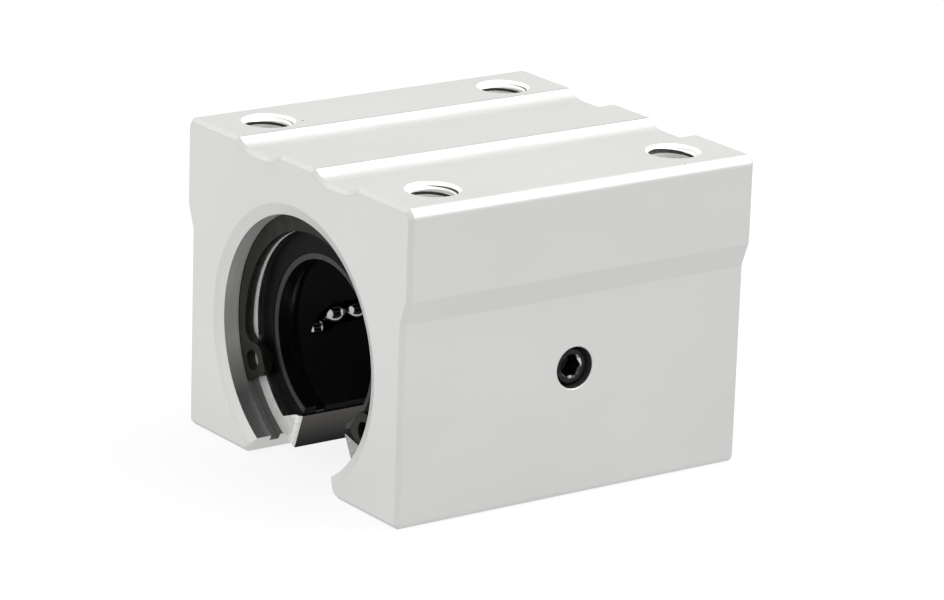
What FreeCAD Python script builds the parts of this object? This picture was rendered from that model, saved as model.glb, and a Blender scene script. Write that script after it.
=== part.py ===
import FreeCAD, Part

import itertools
import math
import os
import re
import Sketcher

# Linear bearing block: an extruded aluminium pillow block, slotted along its underside, that holds an
# open ball bushing for a shaft which is carried from below.
#
# Frame: origin on the shaft's axis at the middle of the block.  +Y runs along the shaft, from the front
# end to the rear end.  +Z points to the mounting face, +X to the side with the adjusting screw.
# Millimetres.  Angles round the shaft are counted from +X towards +Z.

Vector = FreeCAD.Vector
SKETCH_NORMAL = Vector(0, 0, 1)
ALONG_SHAFT = Vector(1, 0, 0)

# ---------------------------------------------------------------------------------------------------
# Driving sizes
# ---------------------------------------------------------------------------------------------------

SIZES = [
    ("block_width", 48.0, "across the head of the block"),
    ("block_length", 50.0, "along the shaft"),
    ("top_height", 23.0, "mounting face above the shaft's axis"),
    ("foot_depth", 16.0, "feet below the shaft's axis"),
    ("head_height", 11.0, "full-width head, below the mounting face"),
    ("step_inset", 1.15, "how far the lower body stands in on each side"),
    ("step_drop", 3.0, "height of the slope under the head"),
    ("groove_near", 3.5, "near edge of a top groove from the middle"),
    ("groove_far", 13.0, "far edge of a top groove from the middle"),
    ("groove_depth", 1.05, "depth of a top groove"),
    ("cove_radius", 5.0, "hollow sides of a top groove"),
    ("slot_angle", 30.5, "half angle of the slot under the shaft, in degrees"),
    ("top_round", 1.3, "round on the long edges of the mounting face"),
    ("foot_round", 0.8, "round on the outer edges of the feet"),
    ("step_round", 0.7, "rounds at both ends of the slope"),
    ("toe_round", 1.6, "round on the inner edges of the feet"),
    ("end_chamfer", 0.5, "chamfer round both end faces"),
    ("mouth_width", 1.4, "chamfer at the bore's mouth, measured radially"),
    ("mouth_depth", 0.6, "chamfer at the bore's mouth, measured along the shaft"),
    ("mount_pitch", 35.0, "mounting holes, centre to centre both ways"),
    ("mount_size", 6.0, "thread diameter of the mounting holes"),
    ("mount_depth", 12.0, "depth of the mounting holes"),
    ("mount_sink", 6.9, "countersink diameter of the mounting holes"),
    ("screw_size", 5.0, "thread diameter of the adjusting screw"),
    ("screw_recess", 0.8, "adjusting screw's drive end inside the block's side face"),
    ("screw_clearance", 0.05, "radial clearance of the adjusting screw in its hole"),
    ("screw_tip_gap", 0.05, "adjusting screw's tip off the sleeve"),
    ("screw_end_chamfer", 0.45, "chamfer at both ends of the adjusting screw"),
    ("hole_sink", 0.35, "countersink of the adjusting screw's hole"),
    ("socket_size", 2.5, "hex socket across flats"),
    ("socket_depth", 2.5, "depth of the hex socket"),
    ("shaft_radius", 10.0, "shaft that the bushing takes"),
    ("ball_radius", 1.5875, "eighth-inch balls"),
    ("shaft_clearance", 0.01, "loaded balls off the shaft"),
    ("sleeve_radius", 16.0, "outside of the bearing sleeve"),
    ("sleeve_bore", 13.75, "inside of the sleeve between the races"),
    ("sleeve_chamfer", 0.5, "chamfer on the sleeve's ends"),
    ("sleeve_clearance", 0.02, "radial clearance of the sleeve in the block"),
    ("race_clearance", 0.01, "loaded balls off the race"),
    ("race_angle", 18.0, "width of a race land, in degrees"),
    ("race_overrun", 1.0, "race land past each end of the loaded row"),
    ("opening_angle", 49.0, "angle cut out of the bushing, in degrees"),
    ("bushing_turn", 3.5, "how far the bushing is turned in the block, in degrees"),
    ("ring_setback", 2.7, "snap ring's outer face inside the block's end"),
    ("ring_thickness", 1.2, "snap ring thickness"),
    ("ring_gap", 0.1, "snap ring off the sleeve's end"),
    ("ring_radius", 16.8, "outside of a snap ring as it sits in its groove"),
    ("ring_groove_gap", 0.05, "snap ring off its groove's walls"),
    ("ring_inner", 14.467, "radius of the snap ring's inner edge"),
    ("ring_offset", 0.817, "inner edge's centre below the shaft's axis"),
    ("lug_angle", 62.0, "lug from the middle of the snap ring's gap, in degrees"),
    ("lug_reach", 11.5, "lug's tip from the shaft's axis"),
    ("lug_width", 4.4, "width of a lug"),
    ("lug_round", 1.2, "rounded corners of a lug"),
    ("lug_hole", 2.5, "diameter of a lug's plier hole"),
    ("lug_hole_place", 13.9, "plier hole from the shaft's axis"),
    ("gap_inset", 8.0, "end of the spring arc inside a lug's middle, in degrees"),
    ("front_ring_turn", -4.9, "how far the front snap ring is turned, in degrees"),
    ("rear_ring_turn", 0.0, "how far the rear snap ring is turned, in degrees"),
    ("retainer_inner", 10.25, "inside of the ball retainer"),
    ("retainer_outer", 13.1, "outside of the ball retainer"),
    ("retainer_floor", 10.5, "floor of the tracks, where the balls return"),
    ("track_end_wall", 0.7125, "retainer left beyond the end of a track"),
    ("inner_opening", 51.0, "angle cut out of the retainer, rings and seals, in degrees"),
    ("circuit_pitch", 72.0, "from circuit to circuit, in degrees"),
    ("circuit_start", -18.0, "middle of the first circuit, in degrees"),
    ("circuit_half", 18.0, "loaded row and return row from the circuit's middle, in degrees"),
    ("circuit_count", 4.0, "ball circuits round the shaft"),
    ("circuit_turn", 3.65, "radius of a track's turns"),
    ("track_clearance", 0.15, "track wall off the balls"),
    ("return_radius", 12.1, "returning balls' centres from the shaft's axis"),
    ("window_width", 2.6, "window through which the loaded balls reach the shaft"),
    ("window_shift", 0.23, "window towards the circuit's middle, as the mould draws it"),
    ("window_edge", 1.4, "window's ends from the middle line of the circuit"),
    ("washer_inner", 10.8, "inside of an end ring"),
    ("washer_gap", 0.05, "end rings and seals off the sleeve's wall and off each other"),
    ("washer_thickness", 1.2, "thickness of an end ring"),
    ("seal_recess", 0.4, "seal inside the sleeve's end"),
    ("seal_thickness", 1.9, "thickness of a seal"),
    ("seal_body", 10.9, "inside of a seal's body"),
    ("seal_lip", 10.05, "inside of a seal's lip"),
    ("seal_lip_width", 1.1, "width of a seal's lip"),
]

document = FreeCAD.newDocument("linear_bearing_block")
sheet = document.addObject("Spreadsheet::Sheet", "Sizes")
for row, (alias, value, meaning) in enumerate(SIZES, start=1):
    sheet.set("A%d" % row, meaning)
    sheet.set("B%d" % row, str(value))
    sheet.setAlias("B%d" % row, alias)
document.recompute()

ALIASES = re.compile(r"\b(%s)\b" % "|".join(alias for alias, value, meaning in SIZES))


def sized(text):
    """The expression with every size's name pointed at the sheet."""
    return ALIASES.sub(r"Sizes.\1", text)


def number(text):
    """What an expression over the sheet comes to, as a plain number."""
    result = sheet.evalExpression(sized(text))
    return float(getattr(result, "Value", result))


# Places that more than one sub-part shares.
SIDE_FACE = "(block_width / 2 - step_inset)"
BORE = "(sleeve_radius + sleeve_clearance)"
RACE = "(shaft_radius + shaft_clearance + 2 * ball_radius + race_clearance)"
SCREW_TIP = "(sleeve_radius + screw_tip_gap)"
DRIVE_END = "(%s - screw_recess)" % SIDE_FACE
RING_FACE = "(block_length / 2 - ring_setback - ring_thickness)"
SLEEVE_END = "(%s - ring_gap)" % RING_FACE
RING_GROOVE = "(ring_radius + ring_groove_gap)"
COVE_RUN = "sqrt(2 * cove_radius * groove_depth - groove_depth ^ 2)"
WASHER_OUTER = "(sleeve_bore - washer_gap)"
SEAL_FACE = "(%s - seal_recess - seal_thickness)" % SLEEVE_END
WASHER_FACE = "(%s - washer_gap - washer_thickness)" % SEAL_FACE
RETAINER_END = "(%s - 3 * washer_gap)" % WASHER_FACE
TRACK_HALF = "(ball_radius + track_clearance)"
STRAIGHT = "(%s - track_end_wall - %s - circuit_turn)" % (RETAINER_END, TRACK_HALF)


# ---------------------------------------------------------------------------------------------------
# Sketches and features
# ---------------------------------------------------------------------------------------------------

def make_body(node):
    """An empty body whose label is the sub-part's name."""
    body = document.addObject("PartDesign::Body", node)
    body.Label = node
    return body


def origin_part(body, role):
    """One of the body's own origin planes or axes."""
    return [item for item in body.Origin.OriginFeatures if item.Role == role][0]


def make_sketch(body, name, role, lift="0", turn="0", turn_axis=SKETCH_NORMAL):
    """A sketch on an origin plane, lifted along its normal and turned by expressions."""
    sketch = body.newObject("Sketcher::SketchObject", name)
    sketch.AttachmentSupport = [(origin_part(body, role), "")]
    sketch.MapMode = "FlatFace"
    turned = FreeCAD.Rotation(turn_axis, number(turn))
    sketch.AttachmentOffset = FreeCAD.Placement(Vector(0, 0, number(lift)), turned)
    if lift != "0":
        sketch.setExpression("AttachmentOffset.Base.z", sized(lift))
    if turn != "0":
        sketch.setExpression("AttachmentOffset.Rotation.Angle", sized(turn))
    return sketch


# Two places closer than this are the same place.
CLOSE = 1e-4


def hold(sketch, kind, where, text):
    """A dimension that follows the sheet."""
    index = sketch.addConstraint(Sketcher.Constraint(kind, *where, number(text)))
    if re.search("[a-z]", text):
        sketch.setExpression("Constraints[%d]" % index, sized(text))


def arc_between(start, end, radius, centre_side):
    """The arc from start to end with its centre left (+1) or right (-1) of the way from one to the other."""
    chord = end - start
    across = Vector(-chord.y, chord.x, 0).normalize()
    away = math.sqrt(max(radius ** 2 - (chord.Length / 2) ** 2, 0))
    centre = (start + end) * 0.5 + across * (away * centre_side)
    circle = Part.Circle(centre, Vector(0, 0, 1), radius)
    first, last = (start, end) if centre_side > 0 else (end, start)
    return Part.ArcOfCircle(circle, circle.parameter(first), circle.parameter(last))


def draw_outline(sketch, corners):
    """A closed outline, every corner held from the origin by the sheet.

    A corner is (x, y), or (x, y, radius, side) where a round stretch leads on to the next corner: side
    is 1 where the arc's centre lies left of the way on, and -1 where it lies right.
    """
    places = [Vector(number(corner[0]), number(corner[1]), 0) for corner in corners]
    starts, ends = [], []
    for index, corner in enumerate(corners):
        here, there = places[index], places[(index + 1) % len(corners)]
        if len(corner) == 2:
            line = sketch.addGeometry(Part.LineSegment(here, there))
            starts.append((line, 1))
            ends.append((line, 2))
            continue
        arc = sketch.addGeometry(arc_between(here, there, number(corner[2]), corner[3]))
        turns_left = corner[3] > 0
        starts.append((arc, 1 if turns_left else 2))
        ends.append((arc, 2 if turns_left else 1))
        hold(sketch, "Radius", (arc,), corner[2])
    for index, corner in enumerate(corners):
        sketch.addConstraint(Sketcher.Constraint("Coincident", *ends[index - 1], *starts[index]))
        hold(sketch, "DistanceX", (-1, 1, *starts[index]), corner[0])
        hold(sketch, "DistanceY", (-1, 1, *starts[index]), corner[1])


def draw_circle(sketch, x, y, radius):
    """A circle, its centre and radius held by the sheet."""
    circle = Part.Circle(Vector(number(x), number(y), 0), Vector(0, 0, 1), number(radius))
    index = sketch.addGeometry(circle)
    hold(sketch, "Radius", (index,), radius)
    hold(sketch, "DistanceX", (-1, 1, index, 3), x)
    hold(sketch, "DistanceY", (-1, 1, index, 3), y)


def settle(feature, needs_change=True):
    """Recompute and stop if a feature failed or changed nothing."""
    body = feature.getParentGeoFeatureGroup()
    before = feature.BaseFeature.Shape.Volume if feature.BaseFeature else 0.0
    document.recompute()
    if "Invalid" in feature.State or "Error" in feature.State or feature.Shape.isNull():
        raise RuntimeError("%s in %s could not be built" % (feature.Name, body.Label))
    if needs_change and abs(feature.Shape.Volume - before) < CLOSE:
        raise RuntimeError("%s in %s changed nothing" % (feature.Name, body.Label))
    return feature


def extrude(body, name, kind, sketch, length, both_ways=False, backwards=False):
    """A Pad or a Pocket of a stated length."""
    feature = body.newObject("PartDesign::" + kind, name)
    feature.Profile = sketch
    feature.setExpression("Length", sized(length))
    feature.SideType = "Symmetric" if both_ways else "One side"
    feature.Reversed = backwards
    return settle(feature)


def turn_round(body, name, kind, sketch, role, angle="360"):
    """A Revolution or a Groove round one of the body's axes, spread evenly about its sketch."""
    feature = body.newObject("PartDesign::" + kind, name)
    feature.Profile = sketch
    feature.ReferenceAxis = (origin_part(body, role), [""])
    feature.Midplane = True
    feature.Angle = number(angle)
    if angle != "360":
        feature.setExpression("Angle", sized(angle))
    return settle(feature)


def pattern_round_shaft(body, name, feature):
    """The same feature for every ball circuit."""
    pattern = body.newObject("PartDesign::PolarPattern", name)
    pattern.Originals = [feature]
    pattern.Axis = (origin_part(body, "Y_Axis"), [""])
    pattern.Reversed = True
    pattern.setExpression("Angle", sized("circuit_pitch * (circuit_count - 1)"))
    pattern.setExpression("Occurrences", sized("circuit_count"))
    body.Tip = pattern
    return settle(pattern)


def mirror_left_right(body, name, features):
    """The same features on the other side of the body's middle plane."""
    mirror = body.newObject("PartDesign::Mirrored", name)
    mirror.Originals = features
    mirror.MirrorPlane = (origin_part(body, "YZ_Plane"), [""])
    body.Tip = mirror
    return settle(mirror)


def dress(body, name, kind, base, edges, size):
    """A Fillet or a Chamfer on the named edges of the base."""
    feature = body.newObject("PartDesign::" + kind, name)
    feature.Base = (base, edges)
    feature.setExpression("Radius" if kind == "Fillet" else "Size", sized(size))
    return settle(feature)


def edges_where(feature, test):
    """Names of the feature's edges that pass a test."""
    pairs = enumerate(feature.Shape.Edges, start=1)
    return ["Edge%d" % index for index, edge in pairs if test(edge)]


def long_edges_at(feature, x, z):
    """Edges that run the length of the block at x and z, on both sides."""
    def runs_there(edge):
        ends = [vertex.Point for vertex in edge.Vertexes]
        if len(ends) != 2 or abs(ends[0].y - ends[1].y) < number("block_length") / 2:
            return False
        return all(abs(abs(end.x) - number(x)) < CLOSE and abs(end.z - number(z)) < CLOSE for end in ends)
    return edges_where(feature, runs_there)


def turn_in_block(body, turn):
    """Turn a body about the shaft's axis, counted from +X towards +Z."""
    about = FreeCAD.Rotation(Vector(0, -1, 0), 1.0)
    body.Placement = FreeCAD.Placement(Vector(0, 0, 0), about)
    body.setExpression("Placement.Rotation.Angle", sized(turn))


# ---------------------------------------------------------------------------------------------------
# Housing
# ---------------------------------------------------------------------------------------------------

def make_housing():
    """The extruded block: profile, dressed edges, bore with two ring grooves, and tapped holes."""
    body = make_body("housing")
    profile = make_sketch(body, "extruded_profile", "XZ_Plane")
    right_side = [
        ("groove_near", "top_height", "cove_radius", 1),
        ("groove_near + " + COVE_RUN, "top_height - groove_depth"),
        ("groove_far - " + COVE_RUN, "top_height - groove_depth", "cove_radius", 1),
        ("groove_far", "top_height"),
        ("block_width / 2", "top_height"),
        ("block_width / 2", "top_height - head_height"),
        (SIDE_FACE, "top_height - head_height - step_drop"),
        (SIDE_FACE, "-foot_depth"),
        ("foot_depth * tan(slot_angle * 1 deg)", "-foot_depth"),
    ]
    left_side = []
    for index, corner in enumerate(right_side):
        arc = right_side[index - 1][2:] if index else ()
        left_side.insert(0, ("-(%s)" % corner[0], corner[1]) + arc)
    draw_outline(profile, right_side + [("0", "0")] + left_side)
    solid = extrude(body, "extrusion", "Pad", profile, "block_length", both_ways=True)

    rounds = [
        ("top_rounds", "block_width / 2", "top_height", "top_round"),
        ("head_rounds", "block_width / 2", "top_height - head_height", "step_round"),
        ("step_rounds", SIDE_FACE, "top_height - head_height - step_drop", "step_round"),
        ("foot_rounds", SIDE_FACE, "-foot_depth", "foot_round"),
        ("toe_rounds", "foot_depth * tan(slot_angle * 1 deg)", "-foot_depth", "toe_round"),
    ]
    for name, x, z, radius in rounds:
        solid = dress(body, name, "Fillet", solid, long_edges_at(solid, x, z), radius)

    half_length = number("block_length / 2")
    on_end = edges_where(solid, lambda edge: abs(abs(edge.CenterOfMass.y) - half_length) < CLOSE)
    solid = dress(body, "end_chamfers", "Chamfer", solid, on_end, "end_chamfer")

    bore = make_sketch(body, "bore_profile", "YZ_Plane")
    rear_half = [
        (RING_FACE + " - ring_groove_gap", BORE),
        (RING_FACE + " - ring_groove_gap", RING_GROOVE),
        (RING_FACE + " + ring_thickness + ring_groove_gap", RING_GROOVE),
        (RING_FACE + " + ring_thickness + ring_groove_gap", BORE),
        ("block_length / 2 - mouth_depth", BORE),
        ("block_length / 2", BORE + " + mouth_width"),
        ("block_length / 2 + mouth_depth", BORE + " + mouth_width"),
        ("block_length / 2 + mouth_depth", "0"),
    ]
    front_half = [("-(%s)" % along, radius) for along, radius in reversed(rear_half)]
    draw_outline(bore, rear_half + front_half)
    turn_round(body, "bore", "Groove", bore, "Y_Axis")

    pattern = make_sketch(body, "mount_hole_places", "XY_Plane", lift="top_height")
    for x_sign, y_sign in itertools.product(("", "-"), repeat=2):
        draw_circle(pattern, x_sign + "mount_pitch / 2", y_sign + "mount_pitch / 2", "mount_size / 2")
    holes = body.newObject("PartDesign::Hole", "mount_holes")
    holes.Profile = pattern
    holes.ThreadType = "None"
    holes.DepthType = "Dimension"
    holes.DrillPoint = "Flat"
    holes.HoleCutType = "Countersink"
    holes.HoleCutCustomValues = True
    holes.setExpression("Diameter", sized("mount_size"))
    holes.setExpression("Depth", sized("mount_depth"))
    holes.setExpression("HoleCutDiameter", sized("mount_sink"))
    holes.HoleCutCountersinkAngle = 90
    settle(holes)

    side = make_sketch(body, "screw_hole_profile", "XZ_Plane")
    hole_radius = "screw_size / 2 + screw_clearance"
    draw_outline(side, [
        (BORE + " - 1", "0"),
        (BORE + " - 1", hole_radius),
        (SIDE_FACE + " - hole_sink", hole_radius),
        (SIDE_FACE + " + hole_sink", hole_radius + " + 2 * hole_sink"),
        (SIDE_FACE + " + hole_sink", "0"),
    ])
    turn_round(body, "screw_hole", "Groove", side, "X_Axis")
    return body


# ---------------------------------------------------------------------------------------------------
# Adjusting screw
# ---------------------------------------------------------------------------------------------------

def make_adjusting_screw():
    """The grub screw in the block's side that sets the bushing's play."""
    body = make_body("adjusting_screw")
    profile = make_sketch(body, "screw_profile", "XZ_Plane")
    radius = "screw_size / 2"
    draw_outline(profile, [
        (SCREW_TIP, "0"),
        (SCREW_TIP, radius + " - 2 * screw_end_chamfer"),
        (SCREW_TIP + " + 2 * screw_end_chamfer", radius),
        (DRIVE_END + " - screw_end_chamfer", radius),
        (DRIVE_END, radius + " - screw_end_chamfer"),
        (DRIVE_END, "0"),
    ])
    turn_round(body, "screw_shank", "Revolution", profile, "X_Axis")

    socket = make_sketch(body, "socket_outline", "YZ_Plane", lift=DRIVE_END)
    corner = "socket_size / sqrt(3)"
    corners = []
    for step in range(6):
        corners.append((corner + " * cos(%d deg)" % (60 * step), corner + " * sin(%d deg)" % (60 * step)))
    draw_outline(socket, corners)
    extrude(body, "hex_socket", "Pocket", socket, "socket_depth")
    return body


# ---------------------------------------------------------------------------------------------------
# Snap rings
# ---------------------------------------------------------------------------------------------------

def make_snap_ring(node, lift, turn):
    """A bore snap ring: a spring arc that thins towards its ends, and two lugs with plier holes."""
    body = make_body(node)
    arc = make_sketch(body, "spring_arc_outline", "XZ_Plane", lift=lift)
    draw_circle(arc, "0", "0", "ring_radius")
    draw_circle(arc, "0", "-ring_offset", "ring_inner")
    extrude(body, "spring_arc", "Pad", arc, "ring_thickness", both_ways=True)

    gap = make_sketch(body, "gap_outline", "XZ_Plane", lift=lift)
    gap_reach = "(ring_radius + 1)"
    gap_edge = gap_reach + " * tan((lug_angle - gap_inset) * 1 deg)"
    draw_outline(gap, [("0", "0"), ("-" + gap_edge, "-" + gap_reach), (gap_edge, "-" + gap_reach)])
    extrude(body, "gap", "Pocket", gap, "2 * ring_thickness", both_ways=True)

    lug = make_sketch(body, "lug_outline", "XZ_Plane", lift=lift, turn="lug_angle - 180")
    root = "ring_radius - ring_thickness"
    draw_outline(lug, [
        ("lug_width / 2", root),
        ("-lug_width / 2", root),
        ("-lug_width / 2", "lug_reach + lug_round", "lug_round", 1),
        ("-lug_width / 2 + lug_round", "lug_reach"),
        ("lug_width / 2 - lug_round", "lug_reach", "lug_round", 1),
        ("lug_width / 2", "lug_reach + lug_round"),
    ])
    right_lug = extrude(body, "lug", "Pad", lug, "ring_thickness", both_ways=True)

    hole = make_sketch(body, "plier_hole_place", "XZ_Plane", lift=lift, turn="lug_angle - 180")
    draw_circle(hole, "0", "lug_hole_place", "lug_hole / 2")
    right_hole = extrude(body, "plier_hole", "Pocket", hole, "2 * ring_thickness", both_ways=True)
    mirror_left_right(body, "both_lugs", [right_lug, right_hole])
    turn_in_block(body, turn)
    return body


# ---------------------------------------------------------------------------------------------------
# Bearing sleeve, end rings and seals
# ---------------------------------------------------------------------------------------------------

def make_bearing_sleeve():
    """The hardened sleeve, open below, with a raised race land over every loaded row of balls."""
    body = make_body("bearing_sleeve")
    wall = make_sketch(body, "wall_profile", "YZ_Plane")
    rear_half = [
        (SLEEVE_END + " - sleeve_chamfer", "sleeve_radius"),
        (SLEEVE_END, "sleeve_radius - sleeve_chamfer"),
        (SLEEVE_END, "sleeve_bore"),
    ]
    front_half = [("-(%s)" % along, radius) for along, radius in reversed(rear_half)]
    draw_outline(wall, rear_half + front_half)
    turn_round(body, "wall", "Revolution", wall, "Y_Axis", "360 - opening_angle")

    first_row = "90 - (circuit_start - circuit_half)"
    race = make_sketch(body, "race_profile", "YZ_Plane", turn=first_row, turn_axis=ALONG_SHAFT)
    root = "(sleeve_radius + sleeve_bore) / 2"
    race_end = "(%s + race_overrun)" % STRAIGHT
    draw_outline(race, [
        ("-" + race_end, RACE),
        (race_end, RACE),
        (race_end, root),
        ("-" + race_end, root),
    ])
    land = turn_round(body, "race_land", "Revolution", race, "Y_Axis", "race_angle")
    pattern_round_shaft(body, "race_lands", land)
    turn_in_block(body, "bushing_turn")
    return body


def make_open_ring(node, corners):
    """A ring round the shaft, open below as the retainer is."""
    body = make_body(node)
    profile = make_sketch(body, "ring_profile", "YZ_Plane")
    draw_outline(profile, corners)
    turn_round(body, "open_ring", "Revolution", profile, "Y_Axis", "360 - inner_opening")
    turn_in_block(body, "bushing_turn")
    return body


def at_end(corners, end):
    """The corners as they are at the rear end, or turned over to the front end."""
    if end == "rear":
        return corners
    return [("-(%s)" % along, radius) for along, radius in reversed(corners)]


def make_end_ring(end):
    """The flat ring between the retainer and a seal."""
    far = WASHER_FACE + " + washer_thickness"
    corners = [(WASHER_FACE, "washer_inner"), (WASHER_FACE, WASHER_OUTER)]
    corners += [(far, WASHER_OUTER), (far, "washer_inner")]
    return make_open_ring("end_ring_" + end, at_end(corners, end))


def make_seal(end):
    """The rubber seal at one end of the bushing, its lip wiping the shaft."""
    far = SEAL_FACE + " + seal_thickness"
    corners = [
        (SEAL_FACE, WASHER_OUTER),
        (far, WASHER_OUTER),
        (far, "seal_body"),
        (SEAL_FACE + " + seal_lip_width", "seal_lip"),
        (SEAL_FACE, "seal_lip"),
    ]
    return make_open_ring("seal_" + end, at_end(corners, end))


# ---------------------------------------------------------------------------------------------------
# Ball retainer
# ---------------------------------------------------------------------------------------------------

def draw_track(sketch, half_width):
    """The two sides of an oval track, half_width either side of its middle line."""
    for turn in ("(circuit_turn + %s)" % half_width, "(circuit_turn - %s)" % half_width):
        draw_outline(sketch, [
            ("-" + STRAIGHT, "-" + turn),
            (STRAIGHT, "-" + turn, turn, 1),
            (STRAIGHT + " + " + turn, "0", turn, 1),
            (STRAIGHT, turn),
            ("-" + STRAIGHT, turn, turn, 1),
            ("-" + STRAIGHT + " - " + turn, "0", turn, 1),
        ])


def make_ball_retainer():
    """The moulded retainer: oval tracks cut through, an inner skin, and windows at the loaded rows."""
    body = make_body("ball_retainer")
    turn = "-circuit_start"
    wall = make_sketch(body, "wall_profile", "YZ_Plane")
    half = RETAINER_END
    draw_outline(wall, [
        ("-" + half, "retainer_inner"),
        (half, "retainer_inner"),
        (half, "retainer_outer"),
        ("-" + half, "retainer_outer"),
    ])
    turn_round(body, "wall", "Revolution", wall, "Y_Axis", "360 - inner_opening")

    track = make_sketch(body, "track_outline", "YZ_Plane", turn=turn, turn_axis=ALONG_SHAFT)
    draw_track(track, TRACK_HALF)
    first = extrude(body, "track", "Pocket", track, "2 * retainer_outer", backwards=True)
    pattern_round_shaft(body, "tracks", first)

    skin = make_sketch(body, "skin_profile", "YZ_Plane")
    draw_outline(skin, [
        ("-" + half, "retainer_inner"),
        (half, "retainer_inner"),
        (half, "retainer_floor"),
        ("-" + half, "retainer_floor"),
    ])
    turn_round(body, "skin", "Revolution", skin, "Y_Axis", "360 - inner_opening")

    window = make_sketch(body, "window_outline", "YZ_Plane", turn=turn, turn_axis=ALONG_SHAFT)
    outer = "(circuit_turn - window_shift + window_width / 2)"
    inner = "(circuit_turn - window_shift - window_width / 2)"
    outer_end = "(%s + sqrt(%s ^ 2 - window_edge ^ 2))" % (STRAIGHT, outer)
    inner_end = "(%s + sqrt(%s ^ 2 - window_edge ^ 2))" % (STRAIGHT, inner)
    draw_outline(window, [
        ("-" + outer_end, "-window_edge", outer, 1),
        ("-" + STRAIGHT, "-" + outer),
        (STRAIGHT, "-" + outer, outer, 1),
        (outer_end, "-window_edge"),
        (inner_end, "-window_edge", inner, -1),
        (STRAIGHT, "-" + inner),
        ("-" + STRAIGHT, "-" + inner, inner, -1),
        ("-" + inner_end, "-window_edge"),
    ])
    first = extrude(body, "window", "Pocket", window, "2 * retainer_outer", backwards=True)
    pattern_round_shaft(body, "windows", first)
    turn_in_block(body, "bushing_turn")
    return body


# ---------------------------------------------------------------------------------------------------
# Balls
# ---------------------------------------------------------------------------------------------------

# Where on a turn the balls leave the loaded height, and where they have reached the return height.
CLIMB_START = math.radians(20)
CLIMB_END = math.radians(62)
# Where the first ball of each circuit lies, in ball diameters past the start of the loaded row.
BALL_STARTS = (0.13, 0.54, 0.82, 0.885)


def faceted_ball(radius):
    """A ball with twenty flat faces, its corners on the true sphere."""
    golden = (1 + math.sqrt(5)) / 2
    scale = radius / math.sqrt(1 + golden ** 2)
    corners = []
    for one, long_step in itertools.product((-1, 1), (-golden, golden)):
        for steps in ((0, one, long_step), (one, long_step, 0), (long_step, 0, one)):
            corners.append(Vector(*steps) * scale)
    side = 2 * scale
    faces = []
    for rim in itertools.combinations(corners, 3):
        lengths = [(rim[index] - rim[index - 1]).Length for index in range(3)]
        if max(lengths) > side + CLOSE:
            continue
        normal = (rim[1] - rim[0]).cross(rim[2] - rim[0])
        outward = rim if normal.dot(rim[0]) > 0 else rim[::-1]
        faces.append(Part.Face(Part.makePolygon([*outward, outward[0]])))
    return Part.makeSolid(Part.makeShell(faces))


class Circuit:
    """The closed path of the ball centres in one track, as the retainer's own sizes give it."""

    def __init__(self, middle_angle):
        self.middle_angle = math.radians(middle_angle)
        self.half_angle = math.radians(number("circuit_half"))
        self.straight = number(STRAIGHT)
        self.turn = number("circuit_turn")
        self.loaded_radius = number("shaft_radius + shaft_clearance + ball_radius")
        self.return_radius = number("return_radius")
        self.length = 4 * self.straight + 2 * math.pi * self.turn

    def flat_place(self, travel):
        """Along and across the track, and how far the ball has climbed (0 loaded, 1 returning)."""
        straight = 2 * self.straight
        arc = math.pi * self.turn
        travel = travel % self.length
        if travel < straight:
            return travel - self.straight, -self.turn, 0.0
        if travel < straight + arc:
            bend = (travel - straight) / self.turn
            return self.straight + self.turn * math.sin(bend), -self.turn * math.cos(bend), self.climb(bend)
        if travel < 2 * straight + arc:
            return self.straight - (travel - straight - arc), self.turn, 1.0
        bend = math.pi - (travel - 2 * straight - arc) / self.turn
        return -self.straight - self.turn * math.sin(bend), -self.turn * math.cos(bend), self.climb(bend)

    def climb(self, bend):
        return min(max((bend - CLIMB_START) / (CLIMB_END - CLIMB_START), 0.0), 1.0)

    def place(self, travel):
        """The ball centre in the block, for a distance travelled along the track."""
        along, across, climb = self.flat_place(travel)
        radius = self.loaded_radius + climb * (self.return_radius - self.loaded_radius)
        angle = self.middle_angle + self.half_angle * across / self.turn
        return Vector(radius * math.cos(angle), along, radius * math.sin(angle))

    def next_travel(self, travel, spacing):
        """The travel at which the next ball is one spacing away in a straight line."""
        here = self.place(travel)
        near, far = travel + spacing * 0.8, travel + spacing * 1.3
        for halving in range(40):
            middle = (near + far) / 2
            if (self.place(middle) - here).Length < spacing:
                near = middle
            else:
                far = middle
        return near

    def chain(self, start, count, spacing):
        """The travels of a row of balls, and of the place where one more would lie."""
        travels = [start]
        for ball in range(count):
            travels.append(self.next_travel(travels[-1], spacing))
        return travels

    def travels(self, start):
        """As many balls as the track takes, evenly spaced so that the chain closes."""
        diameter = 2 * number("ball_radius")
        count = int(self.length / diameter)
        while self.chain(start, count, diameter)[-1] - start > self.length:
            count -= 1
        near, far = diameter, diameter * (count + 1) / count
        for halving in range(40):
            spacing = (near + far) / 2
            if self.chain(start, count, spacing)[-1] - start < self.length:
                near = spacing
            else:
                far = spacing
        return self.chain(start, count, near)[:-1]

    def stretch(self, travel):
        """The name of the stretch of track that a ball lies in."""
        along, across, climb = self.flat_place(travel)
        if along > self.straight:
            return "rear_turn_balls"
        if along < -self.straight:
            return "front_turn_balls"
        return "loaded_balls" if across < 0 else "return_balls"


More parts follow.
